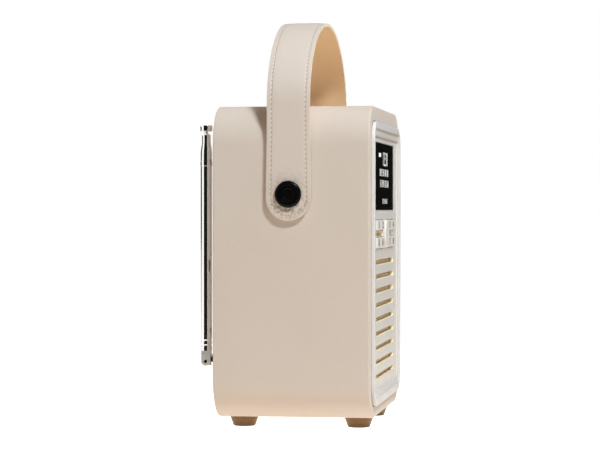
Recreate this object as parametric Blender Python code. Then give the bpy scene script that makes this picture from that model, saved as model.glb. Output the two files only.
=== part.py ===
"""A tabletop radio with a leather-covered case, a carry strap and a telescopic antenna.

Metres, +Z up. The front faces -Y and the user's right hand is +X. The origin is under
the middle of the whole object, at the bottom of the feet. Sizes below are millimetres.
"""

import math

import bmesh
import bpy
from mathutils import Matrix, Vector

MM = 0.001
# The antenna stands behind the case, so the case sits forward of the origin.
CASE_Y = -4.36

# Case, leather covered.
CASE_WIDTH = 175.0
CASE_HEIGHT = 194.8
CASE_HALF_DEPTH = 48.9
CASE_RADIUS = 25.2
LEATHER = 1.0
WALL = 7.5
FEET_HEIGHT = 7.7
CASE_MIDDLE_Z = FEET_HEIGHT + CASE_HEIGHT / 2
CASE_TOP_Z = FEET_HEIGHT + CASE_HEIGHT

# Front fascia: a raised rim round a flat field that is level with the case's front.
PANEL_WIDTH = 152.4
PANEL_HEIGHT = 174.0
PANEL_RADIUS = 12.6
PANEL_MIDDLE_Z = 104.1
RIM_OVERLAP = 1.8
RIM_WIDTH = 4.4
RIM_SLOPE = 4.0
RIM_PROUD = 2.2
FASCIA_BACK = -46.4
FIELD = -CASE_HALF_DEPTH

# Display window.
LENS_HALF_WIDTH = 54.8
LENS_LOW = 137.5
LENS_HIGH = 180.5

# Keys: two rows of four, either side of a round knob.
KEY_COLUMNS = (-42.0, -21.0, 21.0, 42.0)
KEY_WIDTH = 19.8
KEY_ROWS = {"upper": (124.6, 131.0), "lower": (113.3, 120.1)}
KEY_FACE = FIELD - 1.0
KNOB_RADIUS = 9.0
KNOB_Z = 122.2
KNOB_FACE = FIELD - 1.8

# Sound slots.
SLOT_COUNT = 9
SLOT_TOP_Z = 104.4
SLOT_PITCH = 9.06
SLOT_HALF_LENGTH = 50.8
SLOT_HEIGHT = 3.2

# Speakers, behind the slots.
SPEAKER_X = 33.0
SPEAKER_Z = 67.0

# Feet.
FOOT_X = 41.4
FOOT_Y = 36.8
FOOT_TOP_RADIUS = 9.4
FOOT_BOTTOM_RADIUS = 6.6

# Carry strap: it turns on a screw in each side of the case.
STRAP_AXIS_Y = 1.0
STRAP_AXIS_Z = 147.2
STRAP_END_DROP = 16.4
STRAP_MIDDLE_X = 89.7
STRAP_THICKNESS = 2.4
STRAP_HALF_WIDTH = 13.4
STRAP_END_HALF_WIDTH = 14.0
STRAP_RISE = 55.6
SCREW_HEAD_RADIUS = 8.3

# Antenna.
MAST_X = -70.0
MAST_Y = 56.0
MAST_PIN_Z = 42.8
MAST_RADIUS = 3.65
PANEL_BACK = 48.7

# Battery door.
DOOR_LEFT = -29.6
DOOR_RIGHT = 59.6
DOOR_LOW = 52.4
DOOR_HIGH = 111.6


def clear_scene():
    for obj in list(bpy.data.objects):
        bpy.data.objects.remove(obj)


def place(x, y, z):
    """A point in the case's own millimetres, as a place in the scene."""
    return Vector((x, y + CASE_Y, z)) * MM


def material(name, colour, roughness, metallic=0.0):
    made = bpy.data.materials.get(name)
    if made is None:
        made = bpy.data.materials.new(name)
        made.use_nodes = True
        shader = made.node_tree.nodes["Principled BSDF"]
        shader.inputs["Base Color"].default_value = (*colour, 1.0)
        shader.inputs["Roughness"].default_value = roughness
        shader.inputs["Metallic"].default_value = metallic
    return made


LEATHER_BEIGE = ("beige leather", (0.56, 0.44, 0.36), 0.55)
WOOD = ("wood board", (0.52, 0.38, 0.24), 0.7)
WHITE = ("warm white plastic", (0.75, 0.72, 0.68), 0.35)
KEY_WHITE = ("key white", (0.8, 0.78, 0.74), 0.3)
BLACK_GLASS = ("black window", (0.01, 0.01, 0.012), 0.08)
DARK = ("dark plastic", (0.03, 0.03, 0.03), 0.5)
CLOTH = ("grille cloth", (0.32, 0.23, 0.12), 0.9)
BOARD = ("circuit board", (0.05, 0.2, 0.09), 0.5)
STEEL = ("plated steel", (0.6, 0.6, 0.6), 0.3, 1.0)
CHROME = ("chrome", (0.8, 0.8, 0.8), 0.12, 1.0)
BLACK_SCREW = ("black screw", (0.02, 0.02, 0.02), 0.4, 0.6)
FERRITE = ("ferrite", (0.06, 0.06, 0.07), 0.6)
PAPER = ("speaker paper", (0.1, 0.1, 0.1), 0.85)
FOOT_TAN = ("tan foot", (0.42, 0.28, 0.16), 0.5)


def as_object(bm, name, look=None):
    """Turn a bmesh into a named object, with its faces pointing out."""
    bmesh.ops.recalc_face_normals(bm, faces=bm.faces)
    mesh = bpy.data.meshes.new(name)
    bm.to_mesh(mesh)
    bm.free()
    obj = bpy.data.objects.new(name, mesh)
    bpy.context.scene.collection.objects.link(obj)
    if look:
        mesh.materials.append(material(*look))
    return obj


def helper(bm, name):
    """A cutter or an added lump: it is in no render and is no part by itself."""
    obj = as_object(bm, name)
    obj.hide_render = True
    obj.display_type = "WIRE"
    return obj


def boolean(obj, other, operation):
    modifier = obj.modifiers.new(other.name, "BOOLEAN")
    modifier.operation = operation
    modifier.solver = "EXACT"
    modifier.object = other


def cut(obj, shapes):
    """Cut separate closed shapes from an object, with one cutter that holds them all."""
    joined = bmesh.new()
    for shape in shapes:
        piece = bpy.data.meshes.new("piece")
        bmesh.ops.recalc_face_normals(shape, faces=shape.faces)
        shape.to_mesh(piece)
        shape.free()
        joined.from_mesh(piece)
        bpy.data.meshes.remove(piece)
    boolean(obj, helper(joined, obj.name + "_cutter"), "DIFFERENCE")


def add(obj, shape, label):
    boolean(obj, helper(shape, obj.name + "_" + label), "UNION")


def block(low, high):
    """A box between two corners."""
    bm = bmesh.new()
    size = [h - l for l, h in zip(low, high)]
    middle = [(h + l) / 2 for l, h in zip(low, high)]
    matrix = Matrix.Translation(place(*middle)) @ Matrix.Diagonal((*[s * MM for s in size], 1.0))
    bmesh.ops.create_cube(bm, size=1.0, matrix=matrix)
    return bm


def rounded(width, height, radius, middle_z=CASE_MIDDLE_Z, middle_x=0.0, steps=7):
    """The corners of a rounded rectangle in X and Z, in order."""
    points = []
    for corner, (sx, sz) in enumerate(((1, 1), (-1, 1), (-1, -1), (1, -1))):
        cx = middle_x + sx * (width / 2 - radius)
        cz = middle_z + sz * (height / 2 - radius)
        for step in range(steps + 1):
            angle = math.radians(90 * (corner + step / steps))
            points.append((cx + radius * math.cos(angle), cz + radius * math.sin(angle)))
    return points


def stack(rings, ends=True):
    """Join outlines (outline, y) with equal counts into one skin, closed by caps or round on itself."""
    bm = bmesh.new()
    loops = [[bm.verts.new(place(x, y, z)) for x, z in outline] for outline, y in rings]
    pairs = list(zip(loops, loops[1:]))
    if ends:
        bm.faces.new(loops[0])
        bm.faces.new(loops[-1])
    else:
        pairs.append((loops[-1], loops[0]))
    for first, second in pairs:
        for i in range(len(first)):
            j = (i + 1) % len(first)
            bm.faces.new((first[i], first[j], second[j], second[i]))
    return bm


def turned(profile, centre, axis, steps=24):
    """Spin a profile of (radius, distance along the axis) round an axis through a point."""
    along = Vector(axis).normalized()
    side = Vector((0, 0, 1)) if abs(along.z) < 0.5 else Vector((1, 0, 0))
    start = place(*centre)
    bm = bmesh.new()
    rows = []
    for radius, distance in profile:
        middle = start + along * distance * MM
        if radius == 0:
            rows.append([bm.verts.new(middle)])
            continue
        row = []
        for i in range(steps):
            spoke = Matrix.Rotation(2 * math.pi * (i + 0.5) / steps, 3, along) @ side
            row.append(bm.verts.new(middle + spoke * radius * MM))
        rows.append(row)
    closed = profile[0][0] > 0
    for first, second in zip(rows, rows[1:] + rows[:1] if closed else rows[1:]):
        for i in range(steps):
            j = (i + 1) % steps
            corners = [first[i % len(first)], first[j % len(first)]]
            corners += [second[j % len(second)], second[i % len(second)]]
            bm.faces.new(list(dict.fromkeys(corners)))
    return bm


def rod(centre, axis, radius, start, end, steps=24):
    return turned([(0, start), (radius, start), (radius, end), (0, end)], centre, axis, steps)


def pipe(centre, axis, outer, inner, start, end, steps=24):
    return turned([(outer, start), (outer, end), (inner, end), (inner, start)], centre, axis, steps)


clear_scene()

# The wooden sleeve: a tube of board with rounded corners, open at the front and the back.
inside = 2 * (LEATHER + 0.1)
outer = rounded(CASE_WIDTH - inside, CASE_HEIGHT - inside, CASE_RADIUS - LEATHER - 0.1)
inner = rounded(
    CASE_WIDTH - inside - 2 * WALL,
    CASE_HEIGHT - inside - 2 * WALL,
    CASE_RADIUS - LEATHER - 0.1 - WALL,
)
wood_end = CASE_HALF_DEPTH - LEATHER - 0.1
sleeve = as_object(
    stack([(outer, -wood_end), (outer, wood_end), (inner, wood_end), (inner, -wood_end)], False),
    "cabinet_sleeve",
    WOOD,
)
feet = [(x, y) for x in (-FOOT_X, FOOT_X) for y in (-FOOT_Y, FOOT_Y)]
side_axis = (0, STRAP_AXIS_Y, STRAP_AXIS_Z)
cut(
    sleeve,
    [rod((x, y, 0), (0, 0, 1), 1.7, 5.0, 20.0, 16) for x, y in feet]
    + [rod(side_axis, (s, 0, 0), 1.8, 70.0, 95.0, 16) for s in (-1, 1)],
)

# The leather skin: glued round the sleeve and folded over both of its ends.
skin = rounded(CASE_WIDTH, CASE_HEIGHT, CASE_RADIUS)
skin_edge = rounded(CASE_WIDTH - 0.7, CASE_HEIGHT - 0.7, CASE_RADIUS - 0.35)
skin_face = rounded(CASE_WIDTH - 2.4, CASE_HEIGHT - 2.4, CASE_RADIUS - 1.2)
skin_inner = rounded(CASE_WIDTH - 2 * LEATHER, CASE_HEIGHT - 2 * LEATHER, CASE_RADIUS - LEATHER)
lip = rounded(PANEL_WIDTH + 0.8, PANEL_HEIGHT + 0.8, PANEL_RADIUS + 0.4, PANEL_MIDDLE_Z)
end = CASE_HALF_DEPTH
wrap = as_object(
    stack(
        [
            (skin, -end + 1.2),
            (skin, end - 1.2),
            (skin_edge, end - 0.35),
            (skin_face, end),
            (lip, end),
            (lip, end - LEATHER),
            (skin_inner, end - LEATHER),
            (skin_inner, -end + LEATHER),
            (lip, -end + LEATHER),
            (lip, -end),
            (skin_face, -end),
            (skin_edge, -end + 0.35),
        ],
        False,
    ),
    "leather_wrap",
    LEATHER_BEIGE,
)
cut(
    wrap,
    [rod((x, y, 0), (0, 0, 1), 1.9, 5.0, 9.5, 16) for x, y in feet]
    + [rod(side_axis, (s, 0, 0), 2.0, 85.0, 95.0, 16) for s in (-1, 1)],
)


def panel_outline(grow, radius=None):
    """The fascia's outline, grown or shrunk all round."""
    return rounded(
        PANEL_WIDTH + 2 * grow,
        PANEL_HEIGHT + 2 * grow,
        PANEL_RADIUS + grow if radius is None else radius,
        PANEL_MIDDLE_Z,
    )


# The front fascia: one moulding, with a rim that covers the leather's cut edge.
insert = panel_outline(0)
rim = panel_outline(RIM_OVERLAP)
rim_edge = panel_outline(RIM_OVERLAP - 0.5)
rim_inner = panel_outline(RIM_OVERLAP - RIM_WIDTH)
field_edge = panel_outline(RIM_OVERLAP - RIM_WIDTH - RIM_SLOPE)
rim_face = FIELD - RIM_PROUD
fascia = as_object(
    stack(
        [
            (insert, FASCIA_BACK),
            (insert, FIELD - 0.1),
            (rim, FIELD - 0.1),
            (rim, rim_face + 0.5),
            (rim_edge, rim_face),
            (rim_inner, rim_face),
            (field_edge, FIELD),
        ]
    ),
    "front_fascia",
    WHITE,
)
through = (FIELD - 4, FASCIA_BACK + 2)


def window(low_x, high_x, low_z, high_z):
    return block((low_x, through[0], low_z), (high_x, through[1], high_z))


def slot(middle_z, low_x, high_x, height):
    """A slot with round ends, right through the fascia."""
    outline = rounded(
        high_x - low_x, height, height / 2 - 0.01, middle_z, (low_x + high_x) / 2, steps=4
    )
    return stack([(outline, through[0]), (outline, through[1])])


openings = [
    slot(SLOT_TOP_Z - i * SLOT_PITCH, -SLOT_HALF_LENGTH, SLOT_HALF_LENGTH, SLOT_HEIGHT)
    for i in range(SLOT_COUNT)
]
openings.append(
    window(-LENS_HALF_WIDTH - 0.2, LENS_HALF_WIDTH + 0.2, LENS_LOW - 0.2, LENS_HIGH + 0.2)
)
for column in KEY_COLUMNS:
    for low_z, high_z in KEY_ROWS.values():
        half = KEY_WIDTH / 2 + 0.15
        openings.append(window(column - half, column + half, low_z - 0.15, high_z + 0.15))
openings.append(rod((0, 0, KNOB_Z), (0, 1, 0), KNOB_RADIUS + 0.3, *through, 32))
openings.append(slot(122.3, -57.0, -14.0, 2.4))
openings.append(rod((31.0, 0, 122.3), (0, 1, 0), 1.3, *through, 16))
cut(fascia, openings)

# Display: a black window with the module behind it.
lens_box = ((-LENS_HALF_WIDTH, FIELD + 0.2, LENS_LOW), (LENS_HALF_WIDTH, -46.6, LENS_HIGH))
as_object(block(*lens_box), "display_lens", BLACK_GLASS)
as_object(block((-56, -46.2, 138), (56, -42.4, 180)), "display_module", DARK)
as_object(rod((31.0, 0, 122.3), (0, 1, 0), 1.15, FIELD - 0.2, -46.8, 16), "power_led", DARK)

# Cloth behind the sound slots, and behind the narrow slot between the key rows.
as_object(block((-56, -46.2, 27), (56, -45.7, 109.5)), "grille_cloth", CLOTH)
as_object(block((-58, -46.2, 120.85), (-12, -45.8, 123.85)), "sensor_cloth", CLOTH)

# Speaker baffle, with a round opening for each speaker.
baffle = as_object(block((-66, -45.4, 24), (66, -42.4, 110)), "speaker_baffle", WOOD)
speakers = {"left": (-SPEAKER_X, 0, SPEAKER_Z), "right": (SPEAKER_X, 0, SPEAKER_Z)}
cut(baffle, [rod(centre, (0, 1, 0), 28.8, -48, -40, 32) for centre in speakers.values()])

BASKET = (
    (31.5, -42.2),
    (31.5, -40.6),
    (28.5, -40.6),
    (17.0, -25.0),
    (17.0, -22.0),
    (8.0, -22.0),
    (8.0, -23.2),
    (15.8, -23.2),
    (15.8, -25.4),
    (27.4, -41.2),
    (28.5, -42.2),
)
CONE = (
    (0.0, -34.5),
    (4.5, -33.6),
    (6.6, -31.2),
    (25.0, -42.0),
    (25.6, -41.2),
    (6.4, -29.6),
    (6.4, -18.5),
    (5.6, -18.5),
    (5.6, -32.0),
    (3.8, -32.8),
    (0.0, -33.6),
)
MAGNET = ((0, -16.0), (8.2, -16.0), (8.2, -21.8), (15.0, -21.8), (15.0, -11.0), (0, -11.0))
for side, centre in speakers.items():
    as_object(turned(BASKET, centre, (0, 1, 0)), "speaker_basket_" + side, STEEL)
    as_object(turned(CONE, centre, (0, 1, 0)), "speaker_cone_" + side, PAPER)
    as_object(turned(MAGNET, centre, (0, 1, 0)), "speaker_magnet_" + side, FERRITE)


def rectangle(low_x, high_x, low_z, high_z, inset=0.0):
    low_x, low_z = low_x + inset, low_z + inset
    high_x, high_z = high_x - inset, high_z - inset
    return [(low_x, low_z), (high_x, low_z), (high_x, high_z), (low_x, high_z)]


def key(name, column, low_z, high_z):
    """A key cap with a flange behind the fascia and a stem for its switch."""
    middle = (low_z + high_z) / 2
    half = KEY_WIDTH / 2
    cap = (column - half, column + half, low_z, high_z)
    flange = rectangle(*cap, inset=-0.4)
    stem = rectangle(column - 2, column + 2, middle - 1.5, middle + 1.5)
    rings = [
        (rectangle(*cap, inset=0.35), KEY_FACE),
        (rectangle(*cap), KEY_FACE + 0.35),
        (rectangle(*cap), -46.1),
        (flange, -46.1),
        (flange, -45.3),
        (stem, -45.3),
        (stem, -44.4),
    ]
    return as_object(stack(rings), name, KEY_WHITE)


# The keys, and the board that carries their switches.
board = as_object(block((-60, -41.0, 111), (60, -39.4, 133)), "key_board", BOARD)
for row, (low_z, high_z) in KEY_ROWS.items():
    for number, column in enumerate(KEY_COLUMNS, 1):
        key(f"key_{row}_{number}", column, low_z, high_z)
        middle = (low_z + high_z) / 2
        switch = block((column - 2.5, -43.5, middle - 2), (column + 2.5, -40.8, middle + 2))
        add(board, switch, f"switch_{row}_{number}")

# The knob turns and clicks in. Its encoder stands on the key board.
knob_axis = (0, 0, KNOB_Z)
body = as_object(block((-6.5, -45.0, 115.7), (6.5, -41.2, 128.7)), "encoder_body", DARK)
cut(body, [rod(knob_axis, (0, 1, 0), 3.2, -50, -42.0)])
as_object(pipe(knob_axis, (0, 1, 0), 3.1, 1.85, -45.2, -42.2), "encoder_rotor", STEEL)
as_object(rod(knob_axis, (0, 1, 0), 1.7, -49.0, -43.2), "encoder_shaft", STEEL)
KNOB = (
    (0, KNOB_FACE),
    (KNOB_RADIUS - 0.8, KNOB_FACE),
    (KNOB_RADIUS, KNOB_FACE + 0.8),
    (KNOB_RADIUS, -46.0),
    (1.8, -46.0),
    (1.8, -49.2),
    (0, -49.2),
)
as_object(turned(KNOB, knob_axis, (0, 1, 0), 32), "select_knob", KEY_WHITE)

# Main board and battery pack, behind the speakers.
as_object(block((-60, 20.0, 26), (60, 21.6, 112)), "main_board", BOARD)
as_object(block((-24, 30.0, 56), (55, 45.4, 108)), "battery_pack", DARK)

# Back panel, screwed to a batten on each side.
back_outline = panel_outline(0)
back = as_object(stack([(back_outline, 46.4), (back_outline, PANEL_BACK)]), "back_panel", WHITE)
hook = block((MAST_X - 5.6, 46.6, 98.7), (MAST_X - 4.2, 52.4, 106.0))
add(back, hook, "hook")
DC_JACK = (24.0, 0, 32.0)
AUDIO_JACK = (44.0, 0, 32.0)
SCREW_PLACES = {
    "low_left": (-70.0, 0, 62.0),
    "high_left": (-70.0, 0, 168.0),
    "low_right": (70.0, 0, 62.0),
    "high_right": (70.0, 0, 168.0),
}
socket_axis = (MAST_X, 0, MAST_PIN_Z)
back_cuts = [rod(DC_JACK, (0, 1, 0), 4.2, 40, 60), rod(AUDIO_JACK, (0, 1, 0), 3.4, 40, 60)]
back_cuts.append(rod(socket_axis, (0, 1, 0), 4.2, 40, 60))
back_cuts.append(
    block((DOOR_LEFT - 0.4, 40, DOOR_LOW - 0.4), (DOOR_RIGHT + 0.4, 60, DOOR_HIGH + 0.4))
)
for centre in SCREW_PLACES.values():
    wide = [(0, 40.0), (1.7, 40.0), (1.7, 47.2), (3.2, 48.6), (3.2, 60.0), (0, 60.0)]
    back_cuts.append(turned(wide, centre, (0, 1, 0), 16))
cut(back, back_cuts)
for side, s in (("left", -1), ("right", 1)):
    ends = sorted((s * 66.0, s * 78.5))
    batten = as_object(block((ends[0], 38.0, 56.0), (ends[1], 46.2, 176.0)), f"batten_{side}", WOOD)
    cut(
        batten,
        [rod(p, (0, 1, 0), 1.6, 37, 50, 16) for n, p in SCREW_PLACES.items() if n.endswith(side)],
    )
BACK_SCREW = ((0, 39.0), (1.4, 39.0), (1.4, 47.2), (2.9, 48.5), (0, 48.5))
for label, centre in SCREW_PLACES.items():
    as_object(turned(BACK_SCREW, centre, (0, 1, 0), 16), "back_screw_" + label, STEEL)

# Sockets at the back: power inlet and audio input, level with the panel.
jacks = as_object(block((14, 36.0, 24), (54, 46.1, 42)), "rear_jacks", DARK)
add(jacks, rod(DC_JACK, (0, 1, 0), 4.0, 45.0, PANEL_BACK), "power")
add(jacks, rod(AUDIO_JACK, (0, 1, 0), 3.2, 45.0, PANEL_BACK), "audio")
cut(
    jacks,
    [
        pipe(DC_JACK, (0, 1, 0), 2.9, 1.0, 40.0, 52.0),
        rod(AUDIO_JACK, (0, 1, 0), 1.75, 38.0, 52.0),
    ],
)

# Battery door: it swings down on its round lower edge.
door_middle = 47.6
door_outline = [(door_middle + 1.0, DOOR_HIGH), (door_middle - 1.0, DOOR_HIGH)]
for step in range(9):
    angle = math.pi * (1 + step / 8)
    door_outline.append(
        (door_middle + math.cos(angle), DOOR_LOW + 1.0 + math.sin(angle))
    )
bm = bmesh.new()
for x in (DOOR_LEFT, DOOR_RIGHT):
    bm.faces.new([bm.verts.new(place(x, y, z)) for y, z in door_outline])
bmesh.ops.bridge_loops(bm, edges=bm.edges)
as_object(bm, "battery_door", WHITE)

# Tapered feet, each held by a screw from below.
FOOT = (
    (1.7, FEET_HEIGHT - 0.1),
    (FOOT_TOP_RADIUS, FEET_HEIGHT - 0.1),
    (FOOT_TOP_RADIUS, FEET_HEIGHT - 1.0),
    (FOOT_BOTTOM_RADIUS + 0.4, 0.5),
    (FOOT_BOTTOM_RADIUS, 0.0),
    (3.2, 0.0),
    (3.2, 3.2),
    (1.7, 3.2),
)
FOOT_SCREW = ((0, 1.0), (2.8, 1.0), (2.8, 3.0), (1.4, 3.0), (1.4, 15.5), (0, 15.5))
FOOT_NAMES = ("front_left", "back_left", "front_right", "back_right")
for label, (x, y) in zip(FOOT_NAMES, feet):
    as_object(turned(FOOT, (x, y, 0), (0, 0, 1), 28), "foot_" + label, FOOT_TAN)
    as_object(turned(FOOT_SCREW, (x, y, 0), (0, 0, 1), 16), "foot_screw_" + label, STEEL)


def strap_path():
    """The strap's middle line (x, z, outward x, outward z), from one low end to the other."""
    low = STRAP_AXIS_Z - STRAP_END_DROP
    drop = STRAP_END_HALF_WIDTH
    side = [low + drop * (1 - math.cos(math.radians(a))) for a in (6, 20, 35, 50, 65, 80, 90)]
    side += [156.0, 166.0, 178.0, 190.0]
    line = [(-STRAP_MIDDLE_X, z, -1.0, 0.0) for z in side]
    steps = 36
    for step in range(steps + 1):
        angle = math.pi * (1 - step / steps)
        x, z = math.cos(angle), math.sin(angle)
        normal = Vector((x / STRAP_MIDDLE_X, z / STRAP_RISE)).normalized()
        line.append((x * STRAP_MIDDLE_X, CASE_TOP_Z + z * STRAP_RISE, normal.x, normal.y))
    return line + [(STRAP_MIDDLE_X, z, 1.0, 0.0) for z in reversed(side)]


def strap_half_width(z):
    """Round at the low end, widest at the screw, then narrowing slightly up the side."""
    above = z - (STRAP_AXIS_Z - STRAP_END_DROP)
    if above < STRAP_END_HALF_WIDTH:
        return math.sqrt(STRAP_END_HALF_WIDTH**2 - (STRAP_END_HALF_WIDTH - above) ** 2)
    slack = STRAP_END_HALF_WIDTH - STRAP_HALF_WIDTH
    return STRAP_HALF_WIDTH + slack * max(0.0, 1 - (above - STRAP_END_HALF_WIDTH) / 40)


# The carry strap: two layers of leather sewn into one band.
bm = bmesh.new()
sections = []
for x, z, out_x, out_z in strap_path():
    half = strap_half_width(z)
    section = []
    for depth, across in ((-1, -1), (-1, 1), (1, 1), (1, -1)):
        offset = depth * STRAP_THICKNESS / 2
        y = STRAP_AXIS_Y + across * half
        section.append(bm.verts.new(place(x + out_x * offset, y, z + out_z * offset)))
    sections.append(section)
bm.faces.new(sections[0])
bm.faces.new(sections[-1])
for first, second in zip(sections, sections[1:]):
    for i in range(4):
        bm.faces.new((first[i], first[(i + 1) % 4], second[(i + 1) % 4], second[i]))
strap = as_object(bm, "carry_strap", LEATHER_BEIGE)
cut(strap, [rod(side_axis, (s, 0, 0), 2.6, 85.0, 95.0, 20) for s in (-1, 1)])

# A flanged bush carries the strap on each side, under a broad black screw.
BUSH = ((1.75, 87.6), (7.0, 87.6), (7.0, 88.3), (2.4, 88.3), (2.4, 91.05), (1.75, 91.05))
STRAP_SCREW = (
    (0, 78.0),
    (1.6, 78.0),
    (1.6, 91.15),
    (SCREW_HEAD_RADIUS, 91.15),
    (SCREW_HEAD_RADIUS, 92.4),
    (SCREW_HEAD_RADIUS - 1.1, 93.5),
    (5.2, 93.5),
    (4.6, 92.9),
    (0, 92.9),
)
for side, s in (("left", -1), ("right", 1)):
    as_object(turned(BUSH, side_axis, (s, 0, 0)), "strap_bush_" + side, STEEL)
    as_object(turned(STRAP_SCREW, side_axis, (s, 0, 0), 32), "strap_screw_" + side, BLACK_SCREW)

# Antenna foot: a fixed bush in the back panel, and a knuckle that swivels in it. The
# knuckle's tongue stands between the two ears on the mast's lower end.
SOCKET = ((2.0, 44.0), (4.0, 44.0), (4.0, 48.8), (5.6, 48.8), (5.6, 50.0), (2.0, 50.0))
as_object(turned(SOCKET, socket_axis, (0, 1, 0)), "antenna_socket", CHROME)
KNUCKLE = ((0, 44.2), (1.9, 44.2), (1.9, 50.1), (4.6, 50.1), (4.6, 52.2), (0, 52.2))
knuckle = as_object(turned(KNUCKLE, socket_axis, (0, 1, 0)), "antenna_knuckle", CHROME)
pin_axis = (MAST_X, MAST_Y, MAST_PIN_Z)
tongue = block(
    (MAST_X - 1.95, 51.0, MAST_PIN_Z - 2.4), (MAST_X + 1.95, MAST_Y, MAST_PIN_Z + 2.4)
)
add(knuckle, tongue, "tongue")
add(knuckle, rod(pin_axis, (1, 0, 0), 2.4, -1.95, 1.95, 20), "round_end")
cut(knuckle, [rod(pin_axis, (1, 0, 0), 1.1, -8, 8, 16)])
as_object(rod(pin_axis, (1, 0, 0), 1.0, -3.8, 3.8, 16), "antenna_pin", STEEL)

# The mast: an outer tube with two ears, and four sections that slide out of it.
MAST = (
    (0, 49.0),
    (MAST_RADIUS, 49.0),
    (MAST_RADIUS, 173.7),
    (3.05, 178.5),
    (2.9, 178.5),
    (2.9, 173.5),
    (3.25, 173.5),
    (3.25, 51.0),
    (0, 51.0),
)
mast_foot = (MAST_X, MAST_Y, 0)
mast = as_object(turned(MAST, mast_foot, (0, 0, 1)), "antenna_mast", CHROME)
for label, s in (("a", -1), ("b", 1)):
    low, high = sorted((s * 2.1, s * 3.6))
    ear = block((MAST_X + low, MAST_Y - 2.8, MAST_PIN_Z), (MAST_X + high, MAST_Y + 2.8, 49.4))
    add(mast, ear, "ear_" + label)
    add(mast, rod(pin_axis, (1, 0, 0), 2.8, low, high, 20), "tip_" + label)
cut(mast, [rod(pin_axis, (1, 0, 0), 1.1, -8, 8, 16)])
# Each section: outer radius, bore radius, foot and top.
SECTIONS = {
    "antenna_section_2": (2.8, 2.45, 51.4, 184.6),
    "antenna_section_3": (2.2, 1.9, 51.8, 185.0),
    "antenna_section_4": (1.65, 1.35, 52.2, 185.4),
}
for name, (radius, bore, foot, top) in SECTIONS.items():
    profile = (
        (radius + 0.2, foot),
        (radius + 0.2, foot + 3.0),
        (radius, foot + 3.0),
        (radius, top),
        (bore - 0.15, top),
        (bore - 0.15, top - 4.0),
        (bore, top - 4.0),
        (bore, foot),
    )
    as_object(turned(profile, mast_foot, (0, 0, 1)), name, CHROME)
TIP = (
    (0, 52.6),
    (1.25, 52.6),
    (1.25, 55.6),
    (1.1, 55.6),
    (1.1, 186.8),
    (3.5, 186.8),
    (3.85, 187.4),
    (3.85, 189.9),
    (3.3, 190.5),
    (0, 190.5),
)
as_object(turned(TIP, mast_foot, (0, 0, 1)), "antenna_tip", CHROME)
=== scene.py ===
import math
import bmesh
import bpy
from mathutils import Matrix, Vector


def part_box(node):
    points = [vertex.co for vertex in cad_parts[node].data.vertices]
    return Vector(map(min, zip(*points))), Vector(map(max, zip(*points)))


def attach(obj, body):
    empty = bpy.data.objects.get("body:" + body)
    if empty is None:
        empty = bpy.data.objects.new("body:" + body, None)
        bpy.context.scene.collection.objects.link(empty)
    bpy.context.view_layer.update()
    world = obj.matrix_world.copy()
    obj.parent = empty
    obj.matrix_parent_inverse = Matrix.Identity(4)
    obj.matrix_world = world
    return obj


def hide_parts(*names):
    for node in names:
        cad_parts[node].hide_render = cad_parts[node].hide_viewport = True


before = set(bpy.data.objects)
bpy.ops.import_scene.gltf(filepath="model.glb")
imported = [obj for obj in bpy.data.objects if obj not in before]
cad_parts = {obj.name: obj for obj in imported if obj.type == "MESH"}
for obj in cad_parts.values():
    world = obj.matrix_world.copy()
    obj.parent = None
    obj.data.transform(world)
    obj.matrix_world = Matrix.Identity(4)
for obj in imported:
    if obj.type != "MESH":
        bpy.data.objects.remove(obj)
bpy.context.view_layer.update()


# The room: a pale floor that is lit up to white where it is seen, a white backdrop and
# four soft lamps. None of it belongs to the radio.
def placed(name, data):
    """A new object in the scene."""
    obj = bpy.data.objects.new(name, data)
    bpy.context.scene.collection.objects.link(obj)
    return obj


def mesh_of(bm, name):
    """A mesh made from a bmesh, which is then freed."""
    mesh = bpy.data.meshes.new(name)
    bm.to_mesh(mesh)
    bm.free()
    return mesh


def put(tree, socket, value):
    """Link a shader socket to another, or set its value."""
    if isinstance(value, bpy.types.NodeSocket):
        tree.links.new(value, socket)
    elif value is not None:
        socket.default_value = value


def shader_node(tree, kind, **inputs):
    """A shader node with some of its inputs set or linked."""
    node = tree.nodes.new(kind)
    for name, value in inputs.items():
        put(tree, node.inputs[name.replace("_", " ")], value)
    return node


def maths(tree, operation, *values, clamp=False):
    """The result of a sum on numbers and sockets."""
    node = tree.nodes.new("ShaderNodeMath")
    node.operation = operation
    node.use_clamp = clamp
    for socket, value in zip(node.inputs, values):
        put(tree, socket, value)
    return node.outputs[0]


def times(tree, first, second, clamp=False):
    return maths(tree, "MULTIPLY", first, second, clamp=clamp)


def vector_maths(tree, operation, *values):
    """The result of a sum on vectors."""
    node = tree.nodes.new("ShaderNodeVectorMath")
    node.operation = operation
    for socket, value in zip(node.inputs, values):
        put(tree, socket, value)
    return node.outputs["Value" if operation == "LENGTH" else "Vector"]


def blend_colours(tree, factor, first, second):
    """A mix of two colours by a mask."""
    node = tree.nodes.new("ShaderNodeMix")
    node.data_type = "RGBA"
    for index, value in ((0, factor), (6, first), (7, second)):
        put(tree, node.inputs[index], value)
    return node.outputs[2]


def blend_shaders(tree, factor, first, second):
    node = tree.nodes.new("ShaderNodeMixShader")
    for socket, value in zip(node.inputs, (factor, first, second)):
        tree.links.new(value, socket)
    return node.outputs[0]


def ramp(tree, value, low, high, start=0.0, end=1.0):
    """A value carried over from one range to another, and held at both ends."""
    ends = {"From_Min": low, "From_Max": high, "To_Min": start, "To_Max": end}
    return shader_node(tree, "ShaderNodeMapRange", Value=value, **ends).outputs[0]


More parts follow.
